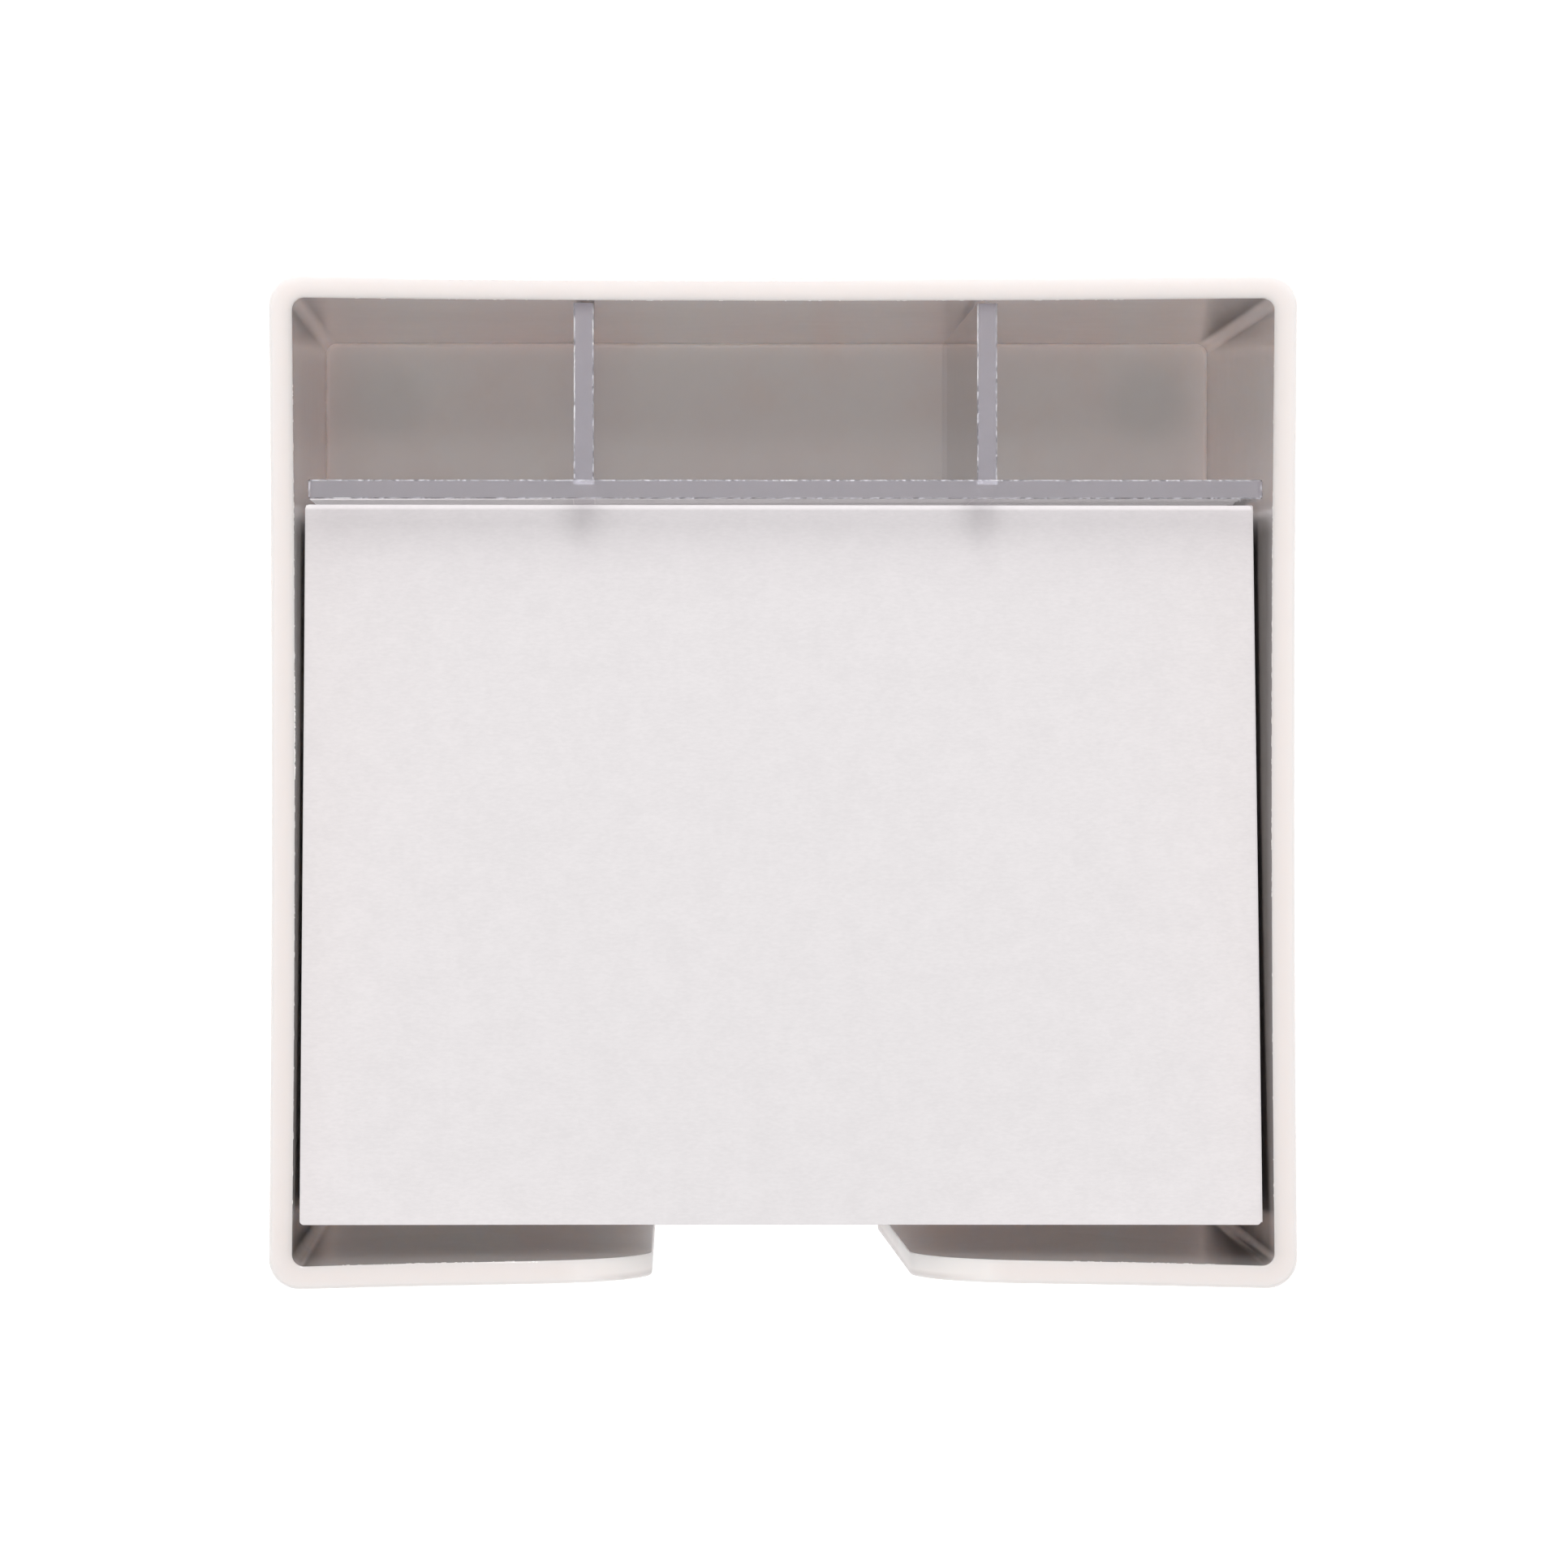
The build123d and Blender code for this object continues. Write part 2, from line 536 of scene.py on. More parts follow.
def moulded_ivory(look):
    """Satin ivory plastic that lets some light through, with faint stains and specks, painted shade on the
    rim, the outer faces and the walls beside the pile, and a fine moulded grain.
    """
    finish = Finish("moulded_ivory")
    axes = finish.axes()
    height = axes["Z"]
    across = finish.math("ABSOLUTE", axes["X"])
    along = finish.math("ABSOLUTE", axes["Y"])

    # Cloudy body colour, with painted shade on the rim and on the outer faces
    cloud = finish.rise(finish.noise(22 * MM, 4.0, 0.6), 0.35, 0.65)
    colour = finish.mix(cloud, rgba(look.ivory), rgba(look.ivory, 0.965))
    # Painted shade: the rim's top is darker than the rest of the same plastic
    rim_shade = finish.rise(height, 79.2 * MM, 79.8 * MM)
    colour = finish.mix(rim_shade, colour, rgba(look.ivory, 0.915))
    # Painted shade: the outer walls below the rim are darker, shading the box's sides
    outer_side = finish.rise(across, 52.2 * MM, 52.6 * MM)
    outer_end = finish.rise(along, 51.4 * MM, 51.8 * MM)
    below_rim = finish.fall(height, 76 * MM, 79.2 * MM)
    outside = finish.product(finish.math("MAXIMUM", outer_side, outer_end), below_rim)
    colour = finish.mix(outside, colour, rgba(look.ivory, look.outer_shade))

    # Painted shade on the side walls in the narrow gaps beside the pile
    inner_face = finish.rise(across, 50.2 * MM, 50.5 * MM)
    short_of_outer = finish.fall(across, 51.7 * MM, 51.9 * MM)
    beside_pile = finish.fall(axes["Y"], 26 * MM, 29 * MM)
    under_rim = finish.fall(height, 74 * MM, 79.5 * MM)
    filled = finish.remap(height, 15 * MM, 50 * MM, 0.0, look.gap_shade_strength)
    gap_shade = finish.product(inner_face, short_of_outer, beside_pile, under_rim, filled)
    # Painted shade darkens the side walls beside the pile
    colour = finish.mix(gap_shade, colour, rgba(look.stain_and_gap_shade, 0.6))

    # Faint blots low inside the box, and specks
    low_down = finish.fall(height, 3 * MM, 34 * MM)
    blots = finish.remap(finish.noise(9 * MM, 5.0, 0.62), 0.52, 0.74, 0.0, 0.16)
    colour = finish.mix(finish.product(low_down, blots), colour, rgba(look.stain_and_gap_shade))
    colour = finish.mix(finish.specks(13 * MM, 0.16 * MM, 0.2), colour, (0.36, 0.28, 0.23, 1.0))

    # Polished skin, left off on the notch's sides
    sideways = finish.rise(finish.facing("X"), 0.3, 0.7)
    notch_side = finish.product(sideways, finish.fall(across, 26 * MM, 28 * MM))
    gloss = finish.noise(4 * MM, 4.0, 0.6)
    rough = finish.remap(gloss, 0.3, 0.7, 0.3, 0.5)
    sink = finish.bump(finish.noise(30 * MM, 2.0, 0.5), 0.05 * MM, 0.25)
    hollow = finish.bump(height, look.hollow, 1.0, sink)
    grain = finish.bump(finish.noise(0.6 * MM, 2.0, 0.5), 0.003 * MM, 0.5, hollow)
    return finish.shade(
        Base_Color=colour,
        Roughness=rough,
        IOR=1.5,
        Normal=grain,
        Specular_IOR_Level=0.1,
        Coat_Weight=finish.remap(notch_side, 0.0, 1.0, look.polish, 0.0),
        Coat_IOR=1.5,
        Coat_Roughness=look.roughness,
        Coat_Normal=hollow,
        Subsurface_Weight=1.0,
        Subsurface_Radius=(1.0, 1.05, 1.11),
        Subsurface_Scale=look.glow_depth,
    )


def clear_plastic(look):
    """Clear plastic with polished faces, frosted cut edges and faint hairline scratches."""
    finish = Finish("clear_plastic")
    along = finish.stretched((90.0, 900.0, 3500.0))
    hair = finish.rise(finish.noise(1.0, 2.0, 0.5, along), 0.62, 0.72)
    haze = finish.remap(finish.noise(5 * MM, 4.0, 0.6), 0.35, 0.7, 0.008, 0.03)
    polished = finish.math("ADD", haze, finish.product(hair, 0.05))
    upright = finish.facing("Z")
    sawn = finish.rise(upright, 0.4, 0.6)
    bevel = finish.product(sawn, finish.fall(upright, 0.8, 0.95))
    ragged = finish.remap(finish.noise(0.5 * MM, 4.0, 0.7), 0.45, 0.6, 0.15, 0.9)
    chalk = finish.math("MAXIMUM", finish.product(sawn, look.chalk), finish.product(bevel, ragged))
    rough = finish.math("MAXIMUM", polished, finish.product(sawn, look.frost))
    ripple = finish.bump(finish.noise(16 * MM, 2.0, 0.5), 0.02 * MM, 0.4)
    scratched = finish.bump(hair, 0.0005 * MM, 0.3, ripple)
    hollow = finish.bump(finish.axes()["Z"], look.hollow, 1.0, scratched)
    material = finish.shade(
        Base_Color=finish.mix(sawn, (0.985, 0.98, 0.99, 1.0), (0.90, 0.885, 0.96, 1.0)),
        Roughness=rough,
        IOR=1.49,
        Normal=hollow,
        Transmission_Weight=finish.math("SUBTRACT", 1.0, chalk),
    )
    glass = finish.output.inputs["Surface"].links[0].from_socket
    path = finish.add("ShaderNodeLightPath").outputs
    passing = finish.math("MAXIMUM", path["Is Shadow Ray"], path["Is Diffuse Ray"])

    # The partitions' housed ends are one with the divider
    left, right = partition_middles()
    groove = 0.5 * (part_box("cross_divider")[1].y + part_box("left_partition")[0].y)
    axes = finish.axes()
    off_groove = finish.distance(axes["Y"], groove)
    off_middle = finish.distance(axes["X"], 0.5 * (left + right))
    off_plate = finish.distance(off_middle, 0.5 * (right - left))
    in_depth = finish.fall(off_groove, 0.29 * MM, 0.3 * MM)
    in_width = finish.fall(off_plate, 1.2 * MM, 1.21 * MM)
    housed = finish.product(in_depth, in_width, finish.math("SUBTRACT", 1.0, sawn))
    passing = finish.math("MAXIMUM", passing, housed)
    clear = finish.add("ShaderNodeBsdfTransparent", inputs={"Color": (0.95, 0.945, 0.95, 1.0)})
    both = finish.add("ShaderNodeMixShader", inputs={0: passing, 1: glass, 2: clear.outputs[0]})
    finish.tree.links.new(both.outputs[0], finish.output.inputs["Surface"])
    body = {"Color": rgba(look.tint), "Density": look.absorption}
    dye = finish.add("ShaderNodeVolumeAbsorption", inputs=body)
    finish.tree.links.new(dye.outputs["Volume"], finish.output.inputs["Volume"])
    return material


def broken_plastic(name, light, dark):
    """Broken plastic, pale with tiny cracks."""
    finish = Finish(name)
    crack = finish.noise(0.15 * MM, 3.0, 0.6)
    colour = finish.mix(crack, light, dark)
    rough = finish.remap(crack, 0.3, 0.7, 0.25, 0.6)
    broken = finish.bump(crack, 0.02 * MM, 0.8)
    return finish.shade(Base_Color=colour, Roughness=rough, IOR=1.49, Normal=broken)


def note_paper(look, name, light, dark):
    """Uncoated white paper with felt-side mottle and fine fibres, its tone graded from light to dark by
    each sheet's tone, which on the top sheet holds painted shade, shadows and a highlight.
    """
    finish = Finish(name)
    mottle = finish.noise(3.2 * MM, 5.0, 0.68)
    fibre = finish.noise(1.0, 3.0, 0.6, finish.stretched((1400.0, 3600.0, 2400.0)))
    felt = finish.math("ADD", finish.product(mottle, 0.45), finish.product(fibre, 0.55))
    colour = finish.mix(finish.rise(felt, 0.38, 0.62), rgba(look.white), rgba(look.white, 0.945))
    tone = finish.add("ShaderNodeAttribute", {"attribute_name": "sheet_tone"}).outputs["Fac"]
    graded = finish.remap(tone, -1.0, 2.0, light, dark)
    scaled = {0: colour, "Scale": graded}
    colour = finish.add("ShaderNodeVectorMath", {"operation": "SCALE"}, scaled).outputs[0]
    colour = finish.mix(finish.specks(17 * MM, 0.1 * MM, 0.18), colour, (0.62, 0.59, 0.58, 1.0))
    tooth = finish.bump(fibre, 0.02 * MM, 0.35)
    cockle = finish.bump(finish.noise(6 * MM, 3.0, 0.55), 0.05 * MM, 0.3, tooth)
    rough = finish.remap(felt, 0.3, 0.7, 0.82, 0.95)
    return finish.shade(
        Base_Color=colour,
        Roughness=rough,
        IOR=1.45,
        Normal=cockle,
        Specular_IOR_Level=0.3,
    )


def foot_rubber(look):
    """Milky soft rubber with a dusty bloom, which lets some light through."""
    finish = Finish("foot_rubber")
    bloom = finish.remap(finish.noise(1.8 * MM, 4.0, 0.65), 0.42, 0.72, 0.0, 0.6)
    colour = finish.mix(bloom, rgba(look.rubber), rgba(look.rubber, 0.86))
    rough = finish.remap(bloom, 0.0, 0.6, look.roughness - 0.08, look.roughness + 0.1)
    pores = finish.bump(finish.noise(0.25 * MM, 3.0, 0.6), 0.02 * MM, 0.6)
    material = finish.shade(
        Base_Color=colour,
        Roughness=rough,
        IOR=1.5,
        Normal=pores,
        Subsurface_Weight=1.0,
        Subsurface_Radius=(1.0, 1.0, 1.0),
        Subsurface_Scale=look.glow_depth,
    )
    solid = finish.output.inputs["Surface"].links[0].from_socket
    spread = finish.add("ShaderNodeLightPath").outputs["Is Diffuse Ray"]
    milky = finish.add("ShaderNodeBsdfTransparent", inputs={"Color": (0.88, 0.875, 0.87, 1.0)})
    both = finish.add("ShaderNodeMixShader", inputs={0: spread, 1: solid, 2: milky.outputs[0]})
    finish.tree.links.new(both.outputs[0], finish.output.inputs["Surface"])
    return material


# Shapes


def sliver(builder, start, end, width, rng):
    """A broken sliver of plastic along an edge: a closed, uneven spindle."""
    start = Vector(start)
    run = Vector(end) - start
    across = run.cross(Vector((0, 0, 1))).normalized()
    up = Vector((0, 0, 1))
    rings = []
    parts = 4
    for index in range(1, parts):
        share = index / parts + rng.uniform(-0.08, 0.08)
        middle = start + run * share + across * rng.uniform(-0.2, 0.2) * width
        half = 0.5 * width * rng.uniform(0.55, 1.0)
        points = []
        for corner in range(4):
            angle = math.radians(45 + 90 * corner) + rng.uniform(-0.3, 0.3)
            spread = across * math.cos(angle) * half + up * math.sin(angle) * half * 0.7
            points.append(builder.verts.new(middle + spread))
        rings.append(points)
    first = builder.verts.new(start)
    last = builder.verts.new(start + run)
    for corner in range(4):
        following = (corner + 1) % 4
        builder.faces.new((first, rings[0][following], rings[0][corner]))
        builder.faces.new((last, rings[-1][corner], rings[-1][following]))
        for ring, beyond in zip(rings, rings[1:]):
            builder.faces.new((ring[corner], ring[following], beyond[following], beyond[corner]))


def chip_run(builder, start, end, count, length, width, rng):
    """Scatter slivers along an edge from start to end."""
    start = Vector(start)
    run = Vector(end) - start
    along = run.normalized()
    for _ in range(count):
        middle = start + run * rng.random()
        half = 0.5 * length * rng.uniform(0.25, 1.0) ** 1.5
        low = max(-half, -(middle - start).length)
        high = min(half, (start + run - middle).length)
        if high - low > 0.1 * MM:
            sliver(builder, middle + along * low, middle + along * high, width * rng.uniform(0.3, 1.0), rng)


def fan(share):
    """Heights of the back and front of the pile, and how far a sheet reaches, at a share of its height."""
    low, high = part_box("memo_stack")
    sheet_low, sheet_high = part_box("top_sheet")
    rise = (sheet_high.z - sheet_low.z) - SHEET_THICKNESS
    length = high.y - low.y
    back_height = low.z + (high.z - rise - low.z) * share
    front_height = low.z + (high.z - low.z) * share
    lift = front_height - back_height
    return back_height, front_height, math.sqrt(length * length - lift * lift)


def slow_wave(look, across, along, share):
    """Height of the slow wave in the sheets at a place on the pile."""
    swell = math.sin(2.6 * across + 0.8) * math.cos(1.9 * along - 0.5)
    ripple = 0.4 * math.sin(4.7 * across - 1.3 * along + 2.0)
    return look.wave * share * (swell + ripple)


def edge_walk(steps_across, steps_along):
    """Places round a sheet's edge, each as a share across and a share from back to front."""
    places = []
    for step in range(steps_across):
        places.append((-0.5 + step / steps_across, 1.0))
    for step in range(steps_along):
        places.append((0.5, 1.0 - step / steps_along))
    for step in range(steps_across):
        places.append((0.5 - step / steps_across, 0.0))
    for step in range(steps_along):
        places.append((-0.5, step / steps_along))
    return places


def pile_mesh(look):
    """Fanned layers of loose sheets, each a thin closed slab that strays a little."""
    rng = random.Random(look.seed)
    low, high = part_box("memo_stack")
    width = high.x - low.x
    builder = bmesh.new()
    tone_layer = builder.verts.layers.float.new("sheet_tone")
    places = edge_walk(12, 8)
    layer_gap = 0.02 * MM
    short_of_top = 0.3 * MM
    drift_across = 0.0
    drift_along = 0.0
    for layer in range(look.layers):
        share = layer / look.layers
        back_height, front_height, reach = fan(share)
        drift_across = 0.9 * drift_across + rng.gauss(0.0, 0.25) * look.looseness
        drift_along = 0.9 * drift_along + rng.gauss(0.0, 0.25) * look.looseness
        stray_across = max(-1.2, min(1.2, rng.gauss(0.0, 0.45))) * look.looseness + drift_across
        stray_along = abs(rng.gauss(0.0, 0.6)) * look.looseness + abs(drift_along)
        limit = 1.6 * look.looseness
        stray_across = max(-limit, min(limit, stray_across))
        settled = share ** 12
        stray_along *= 1.0 - settled
        reach -= short_of_top * settled
        turn = rng.gauss(0.0, 0.0006) + look.turn
        tone = rng.random() ** 2
        rings = []
        for thick in (0.0, look.layer_thickness):
            ring = []
            for across, along in places:
                height = back_height + (front_height - back_height) * along
                height += slow_wave(look, across * 2.0, along * 2.0, share) + thick + layer_gap
                x = across * width + stray_across + turn * (along - 0.5) * reach
                y = high.y - stray_along - along * reach + turn * across * width
                vert = builder.verts.new((x, y, height))
                vert[tone_layer] = tone
                ring.append(vert)
            rings.append(ring)
        bottom, top = rings
        count = len(places)
        for index in range(count):
            following = (index + 1) % count
            builder.faces.new((bottom[index], bottom[following], top[following], top[index]))
        builder.faces.new(top)
        builder.faces.new(list(reversed(bottom)))
    return builder


def stations(length, steps):
    """Places along a length, evenly spaced but closer together near both ends."""
    fine = [share * MM for share in (0.0, 0.03, 0.08, 0.14, 0.21, 0.3, 0.42, 0.6, 0.9, 1.4)]
    margin = 2 * MM
    inner = length - 2 * margin
    middle = [margin + inner * step / steps for step in range(steps + 1)]
    return fine + middle + [length - place for place in reversed(fine)]


def rounded(across, along, width, reach, radius):
    """Pull a place on a sheet's corner in, so that the corner is round."""
    from_side = min(across, width - across)
    from_end = min(along, reach - along)
    if from_side >= radius or from_end >= radius:
        return across, along
    out = 1.0 - from_side / radius
    off = 1.0 - from_end / radius
    pull_out = radius * (out - out * math.sqrt(1.0 - 0.5 * off * off))
    pull_off = radius * (off - off * math.sqrt(1.0 - 0.5 * out * out))
    across += pull_out if across < 0.5 * width else -pull_out
    along += pull_off if along < 0.5 * reach else -pull_off
    return across, along


def top_sheet_tone(down, across, off_partition):
    """Tone of the top sheet: painted shade near its back edge, painted shadows of the partitions, and a
    painted highlight along its back edge.
    """
    plain_tone = 0.4
    back_shade_start, back_shade_fade = 2.0 * MM, 6 * MM
    shade_half, shade_run = 2.4 * MM, 5 * MM
    light_run, light_fade = 0.6 * MM, 0.3 * MM
    # Painted shade near the back edge, stronger towards the left
    back_shade = max(0.0, 1.0 - max(0.0, down - back_shade_start) / back_shade_fade) ** 2
    back_shade *= min(1.0, 0.6 + down / shade_run) * (0.5 + 0.5 * max(0.0, -across))
    # Painted shadows of the partitions, just in front of the divider
    partition_shadow = 1.3 * math.exp(-((off_partition / shade_half) ** 2)) * max(0.0, 1.0 - down / shade_run)
    # Painted highlight along the back edge
    edge_highlight = min(1.0, max(0.0, (light_run - down) / light_fade))
    return plain_tone + back_shade + partition_shadow - 1.7 * edge_highlight


def top_sheet_mesh(look):
    """One loose sheet on the pile, a closed grid whose back edge and front corners curl up."""
    low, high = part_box("top_sheet")
    width = high.x - low.x
    back_height, front_height, reach = fan(1.0)
    columns = stations(width, 60)
    lines = stations(reach, 64)
    builder = bmesh.new()
    tone_layer = builder.verts.layers.float.new("sheet_tone")
    spin = Matrix.Rotation(look.turn, 4, "Z")
    air_under = 0.2 * MM
    left_shift = 0.13 * MM
    curl_run = 5 * MM
    corner_lift = 12.5
    middles = partition_middles()
    skins = []
    for thick in (0.0, SHEET_THICKNESS):
        rows = []
        for line in lines:
            row = []
            for column in columns:
                out, down = rounded(column, line, width, reach, look.corner)
                across = out / width - 0.5
                along = down / reach
                height = back_height + (front_height - back_height) * along
                height += slow_wave(look, across * 2.0, along * 2.0, 1.0) + air_under + thick
                lifted = max(0.0, 1.0 - down / curl_run) ** 2
                left_corner = max(0.0, along - 0.8) * max(0.0, -across - 0.3) * corner_lift
                right_corner = max(0.0, along - 0.86) * max(0.0, across - 0.36) * corner_lift
                height += look.curl * (0.6 * lifted + left_corner + 0.6 * right_corner)
                flat = spin @ Vector((across * width, (0.5 - along) * reach, 0.0))
                x = flat.x - left_shift
                y = flat.y + high.y - 0.5 * reach
                vert = builder.verts.new((x, y, height))
                off_partition = min(abs(across * width - middle) for middle in middles)
                # The tone carries the painted shade, shadows and highlight into the paper's colour
                vert[tone_layer] = top_sheet_tone(down, across, off_partition)
                row.append(vert)
            rows.append(row)
        skins.append(rows)
    bottom, top = skins
    last_line = len(lines) - 1
    last_column = len(columns) - 1
    for line in range(last_line):
        for column in range(last_column):
            near = (line, column), (line, column + 1), (line + 1, column + 1), (line + 1, column)
            builder.faces.new([bottom[i][j] for i, j in near])
            builder.faces.new([top[i][j] for i, j in reversed(near)])
    rim = [(0, column) for column in range(last_column)]
    rim += [(line, last_column) for line in range(last_line)]
    rim += [(last_line, last_column - column) for column in range(last_column)]
    rim += [(last_line - line, 0) for line in range(last_line)]
    for place, following in zip(rim, rim[1:] + rim[:1]):
        first, second = bottom[place[0]][place[1]], bottom[following[0]][following[1]]
        third, fourth = top[following[0]][following[1]], top[place[0]][place[1]]
        builder.faces.new((second, first, fourth, third))
    for face in builder.faces:
        face.smooth = True
    return builder


def chips_mesh(look):
    """Chips and burrs that the cutter left along the top edges of the clear plates."""
    rng = random.Random(look.chip_seed)
    builder = bmesh.new()
    inset = 0.08 * MM
    sunk = 0.04 * MM
    width = look.chip_width
    low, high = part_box("left_partition")
    top = high.z - sunk
    left, right = low.x + inset, high.x - inset
    chip_run(builder, (left, 35.4 * MM, top), (left, 48.7 * MM, top), 34, 1.6 * MM, width, rng)
    chip_run(builder, (right, 45.6 * MM, top), (right, 49.8 * MM, top), 14, 1.2 * MM, width, rng)
    chip_run(builder, (right, 32.5 * MM, top), (right, 44.0 * MM, top), 4, 0.8 * MM, 0.7 * width, rng)
    low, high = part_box("right_partition")
    left, right = low.x + inset, high.x - inset
    chip_run(builder, (left, 41.5 * MM, top), (left, 49.9 * MM, top), 24, 1.6 * MM, width, rng)
    chip_run(builder, (right, 33.0 * MM, top), (right, 49.0 * MM, top), 6, 0.7 * MM, 0.8 * width, rng)
    low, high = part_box("cross_divider")
    top = high.z - sunk
    front, back = low.y + inset, high.y - inset
    start, end = low.x + 1 * MM, high.x - 1 * MM
    chip_run(builder, (-1.2 * MM, back, top), (1.9 * MM, back, top), 12, 0.9 * MM, width, rng)
    chip_run(builder, (start, back, top), (end, back, top), 46, 1.1 * MM, 0.6 * width, rng)
    chip_run(builder, (-47.4 * MM, front, top), (-45.0 * MM, front, top), 5, 1.8 * MM, 0.7 * width, rng)
    chip_run(builder, (start, front, top), (end, front, top), 30, 1.4 * MM, 0.4 * width, rng)
    return builder


def inner_rim(along_wall, side):
    """A place on the inner edge of the rim: along the left, right, front or back wall."""
    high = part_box("shell")[1]
    wall = 2.42 * MM
    bows = {"left": 0.3 * MM, "right": 0.3 * MM, "front": 0.8 * MM, "back": 0.3 * MM}
    lengthwise = side in ("left", "right")
    half_run = (high.y if lengthwise else high.x) - wall
    drawn_in = bows[side] * (1.0 - (along_wall / half_run) ** 2)
    reach = (high.x if lengthwise else high.y) - wall - drawn_in
    level = high.z - 0.08 * MM
    places = {
        "left": (-reach, along_wall, level),
        "right": (reach, along_wall, level),
        "front": (along_wall, -reach, level),
        "back": (along_wall, reach, level),
    }
    return places[side]


def burrs_mesh(look):
    """Thin burrs that the mould left on the inner edge of the rim, most of them on the left."""
    rng = random.Random(look.burr_seed)
    builder = bmesh.new()
    runs = (
        ("left", 0.1, 11.1, 40, 1.3, 1.0),
        ("left", -44.0, 44.0, 60, 1.0, 0.35),
        ("right", -12.0, 28.0, 50, 0.9, 0.4),
        ("right", -44.0, 44.0, 30, 0.7, 0.3),
        ("front", -46.0, -28.0, 26, 0.8, 0.35),
        ("front", 28.0, 46.0, 26, 0.8, 0.35),
        ("back", -46.0, 46.0, 44, 0.7, 0.3),
    )
    for side, start, end, count, length, share in runs:
        steps = 6
        for step in range(steps):
            first = (start + (end - start) * step / steps) * MM
            last = (start + (end - start) * (step + 1) / steps) * MM
            edge = inner_rim(first, side), inner_rim(last, side)
            chip_run(builder, *edge, round(count / steps), length * MM, share * look.burr_width, rng)
    return builder


# Operators


class MEMO_BOX_OT_finish_shell(bpy.types.Operator):
    """Give the moulded shell its ivory plastic and the burrs along its rim"""

    bl_idname = "memo_box.finish_shell"
    bl_label = "Finish Shell"

    def execute(self, context):
        look = context.scene.memo_box.shell
        wear("shell", moulded_ivory(look))
        burr = broken_plastic("rim_burr", light=(0.95, 0.92, 0.90, 1.0), dark=(0.84, 0.79, 0.76, 1.0))
        piece_from("rim_burrs", burrs_mesh(look), burr, "box")
        return {"FINISHED"}


class MEMO_BOX_OT_finish_insert(bpy.types.Operator):
    """Make the insert's plates clear and chip their top edges"""

    bl_idname = "memo_box.finish_insert"
    bl_label = "Finish Insert"

    def execute(self, context):
        look = context.scene.memo_box.insert
        clear = clear_plastic(look)
        for plate in ("cross_divider", "left_partition", "right_partition"):
            wear(plate, clear)
        light, dark = (0.97, 0.96, 0.97, 1.0), (0.86, 0.85, 0.88, 1.0)
        frosted = broken_plastic("frosted_chip", light, dark)
        piece_from("edge_chips", chips_mesh(look), frosted, "divider_insert")
        return {"FINISHED"}


class MEMO_BOX_OT_stack_notes(bpy.types.Operator):
    """Stack the loose note sheets"""

    bl_idname = "memo_box.stack_notes"
    bl_label = "Stack Notes"

    def execute(self, context):
        look = context.scene.memo_box.paper
        paper = note_paper(look, "note_paper_edges", light=1.14, dark=0.72)
        pile = piece_from("note_pile", pile_mesh(look), paper, "memo_pile")
        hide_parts("memo_stack")
        return {"FINISHED"}


class MEMO_BOX_OT_lay_top_sheet(bpy.types.Operator):
    """Lay the loose sheet on the pile"""

    bl_idname = "memo_box.lay_top_sheet"
    bl_label = "Lay Top Sheet"

    def execute(self, context):
        look = context.scene.memo_box.paper
        paper = note_paper(look, "note_paper_face", light=1.25, dark=0.74)
        sheet = piece_from("note_sheet", top_sheet_mesh(look), paper, "loose_sheet")
        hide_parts("top_sheet")
        return {"FINISHED"}


class MEMO_BOX_OT_finish_feet(bpy.types.Operator):
    """Give the four feet their rubber"""

    bl_idname = "memo_box.finish_feet"
    bl_label = "Finish Feet"

    def execute(self, context):
        rubber = foot_rubber(context.scene.memo_box.feet)
        for foot in ("foot_front_left", "foot_front_right", "foot_back_left", "foot_back_right"):
            wear(foot, rubber)
        return {"FINISHED"}


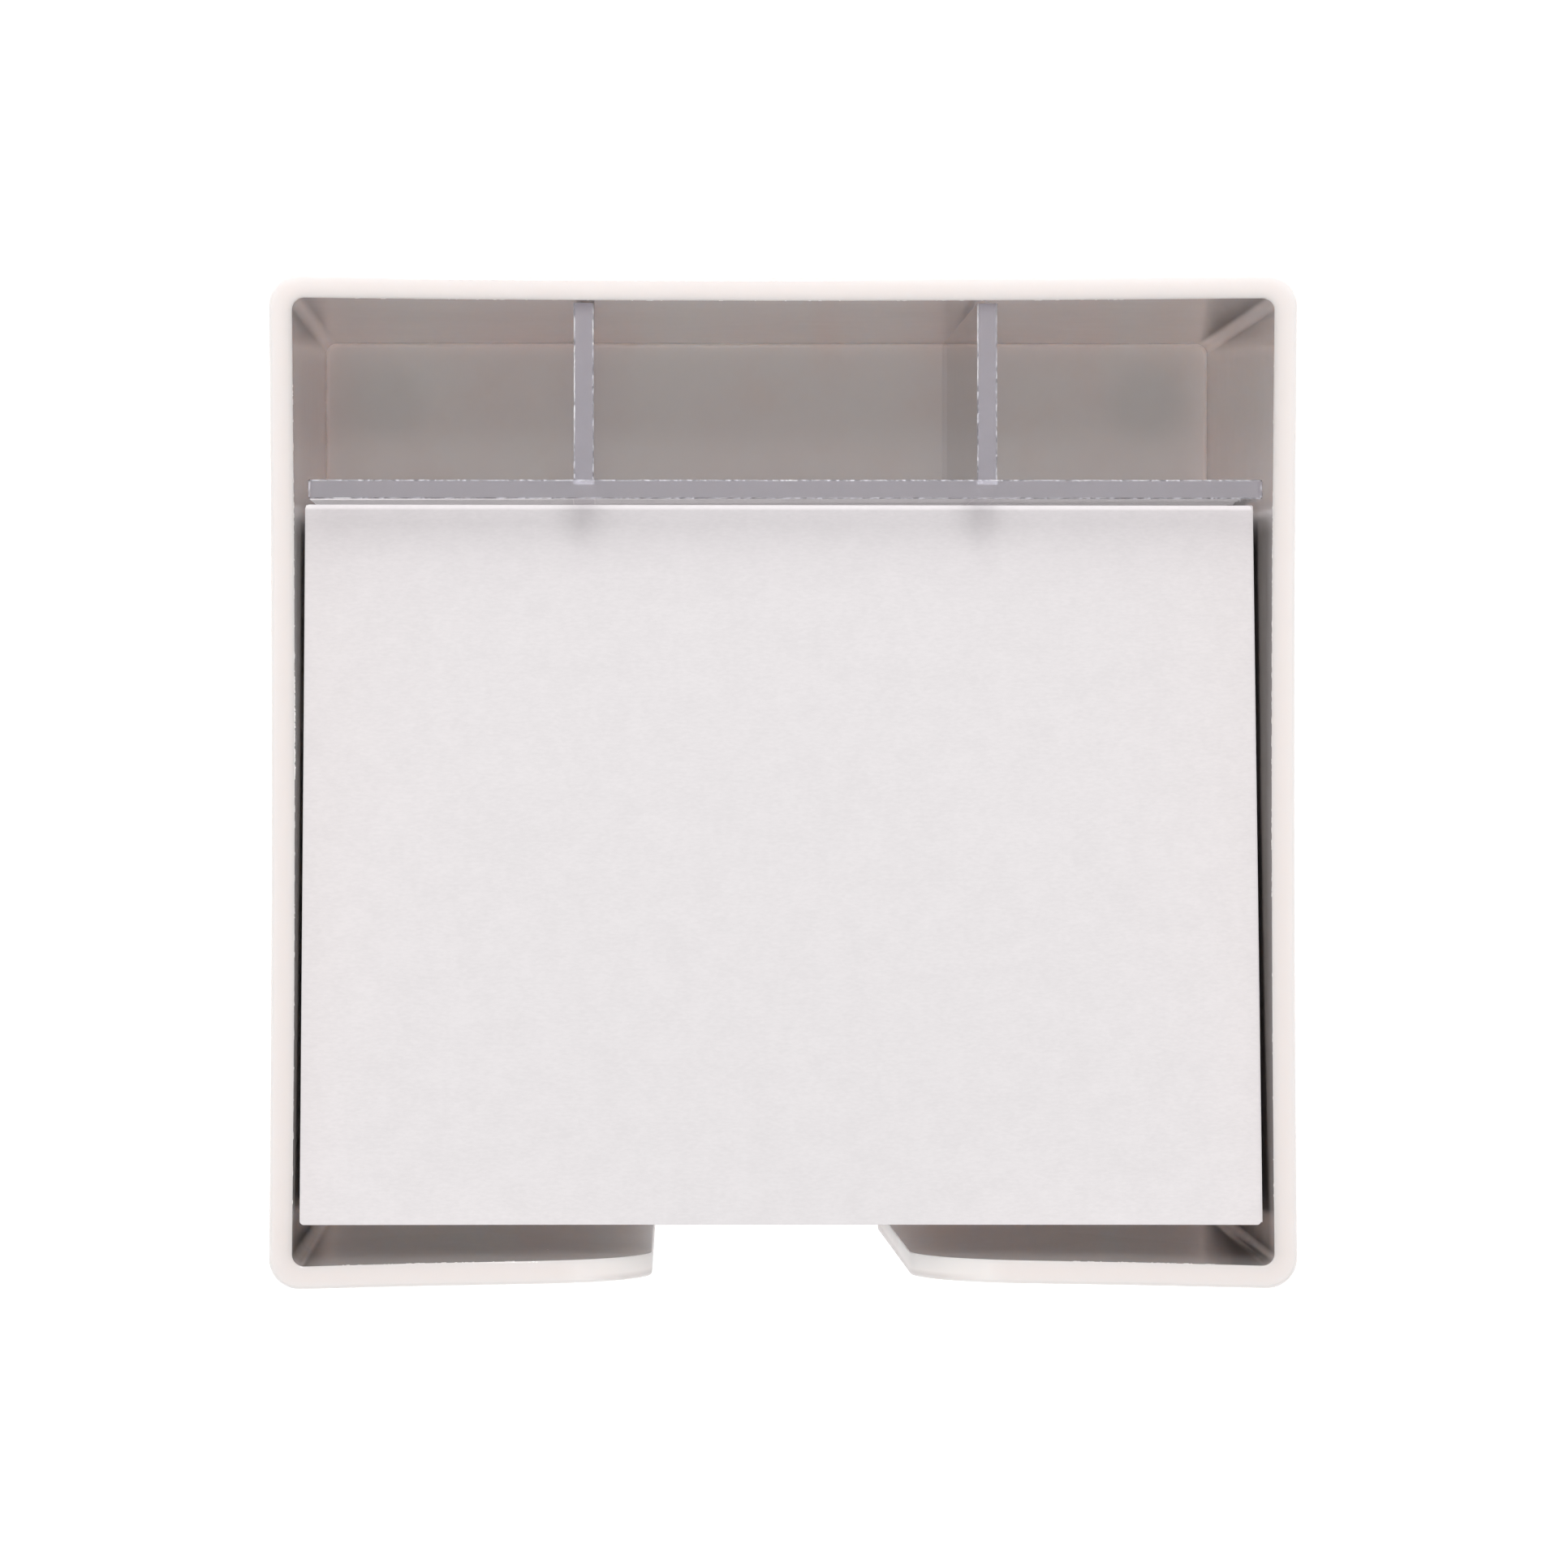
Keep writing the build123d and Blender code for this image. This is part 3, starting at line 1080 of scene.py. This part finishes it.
class MEMO_BOX_OT_set_stage(bpy.types.Operator):
    """Set the white table, the soft light and the camera"""

    bl_idname = "memo_box.set_stage"
    bl_label = "Set Stage"

    def execute(self, context):
        look = context.scene.memo_box.stage
        self.lay_floor(look)
        self.hang_lights(context, look)
        self.stand_camera(context, look)
        context.scene.view_settings.view_transform = "Standard"
        return {"FINISHED"}

    def lay_floor(self, look):
        finish = Finish("white_table")
        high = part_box("shell")[1]
        axes = finish.axes()
        across = finish.math("ABSOLUTE", axes["X"])
        along = finish.math("ABSOLUTE", axes["Y"])
        fade = 3 * MM
        out_across = finish.rise(across, high.x - fade, high.x)
        out_along = finish.rise(along, high.y - fade, high.y)
        outside = finish.math("MAXIMUM", out_across, out_along)
        material = finish.shade(
            Base_Color=(0.86, 0.86, 0.86, 1.0),
            Roughness=0.6,
            Emission_Color=(1.0, 1.0, 1.0, 1.0),
            Emission_Strength=finish.remap(outside, 0.0, 1.0, look.under_glow, look.floor_glow),
        )
        builder = bmesh.new()
        bmesh.ops.create_grid(builder, x_segments=2, y_segments=2, size=3.0)
        mesh = bpy.data.meshes.new("table_top")
        builder.to_mesh(mesh)
        builder.free()
        mesh.materials.append(material)
        table = bpy.data.objects.new("table_top", mesh)
        bpy.context.scene.collection.objects.link(table)

    def hang_lights(self, context, look):
        world = bpy.data.worlds.new("studio_air")
        world.use_nodes = True
        sky = world.node_tree.nodes["Background"]
        sky.inputs["Color"].default_value = (1.0, 0.995, 0.99, 1.0)
        sky.inputs["Strength"].default_value = look.sky
        context.scene.world = world
        softbox_size, softbox_place = (0.1, 0.6), (-0.01, 0.45, 1.02)
        overhead_size, overhead_place = (0.3, 0.14), (-0.04, -0.03, 1.7)
        self.hang_lamp(context, "softbox", look.softbox, softbox_size, softbox_place)
        overhead = self.hang_lamp(context, "overhead", look.overhead, overhead_size, overhead_place)
        overhead.visible_glossy = False

    def hang_lamp(self, context, name, power, size, place):
        lamp = bpy.data.lights.new(name, "AREA")
        lamp.shape = "RECTANGLE"
        lamp.size = size[0]
        lamp.size_y = size[1]
        lamp.energy = power
        hung = bpy.data.objects.new(name, lamp)
        hung.location = place
        aim = Vector((0.0, 0.0, 0.06)) - hung.location
        hung.rotation_euler = aim.to_track_quat("-Z", "Y").to_euler()
        context.scene.collection.objects.link(hung)
        return hung

    def stand_camera(self, context, look):
        optics = bpy.data.cameras.new("photo_camera")
        optics.sensor_width = 36.0
        optics.lens = look.lens
        optics.shift_x = look.shift[0]
        optics.shift_y = look.shift[1]
        optics.clip_start = 0.01
        optics.clip_end = 20.0
        camera = bpy.data.objects.new("photo_camera", optics)
        back = (Vector(look.eye) - Vector(look.aim)).normalized()
        right = Vector((0.0, 1.0, 0.0)).cross(back).normalized()
        up = back.cross(right)
        turn = Matrix((right, up, back)).transposed().to_4x4()
        camera.matrix_world = Matrix.Translation(Vector(look.eye)) @ turn
        context.scene.collection.objects.link(camera)
        context.scene.camera = camera


# Sidebar panel


class MEMO_BOX_PT_sidebar(bpy.types.Panel):
    """Looks of the memo box and the steps that make it"""

    bl_idname = "MEMO_BOX_PT_sidebar"
    bl_label = "Memo Box"
    bl_space_type = "VIEW_3D"
    bl_region_type = "UI"
    bl_category = "Memo Box"

    def draw(self, context):
        looks = context.scene.memo_box
        for group in (looks.shell, looks.insert, looks.paper, looks.feet, looks.stage):
            column = self.layout.column(align=True)
            for name in group.__annotations__:
                column.prop(group, name)
        for step in steps:
            self.layout.operator(step.bl_idname)


steps = (
    MEMO_BOX_OT_finish_shell,
    MEMO_BOX_OT_finish_insert,
    MEMO_BOX_OT_stack_notes,
    MEMO_BOX_OT_lay_top_sheet,
    MEMO_BOX_OT_finish_feet,
    MEMO_BOX_OT_set_stage,
)

classes = (
    MemoBoxShellLook,
    MemoBoxInsertLook,
    MemoBoxPaperLook,
    MemoBoxFeetLook,
    MemoBoxStageLook,
    MemoBoxLook,
    *steps,
    MEMO_BOX_PT_sidebar,
)


def register():
    for item in classes:
        bpy.utils.register_class(item)
    bpy.types.Scene.memo_box = PointerProperty(type=MemoBoxLook)


def unregister():
    del bpy.types.Scene.memo_box
    for item in reversed(classes):
        bpy.utils.unregister_class(item)


def main():
    register()
    bpy.ops.memo_box.finish_shell()
    bpy.ops.memo_box.finish_insert()
    bpy.ops.memo_box.stack_notes()
    bpy.ops.memo_box.lay_top_sheet()
    bpy.ops.memo_box.finish_feet()
    bpy.ops.memo_box.set_stage()


if __name__ == "__main__":
    main()
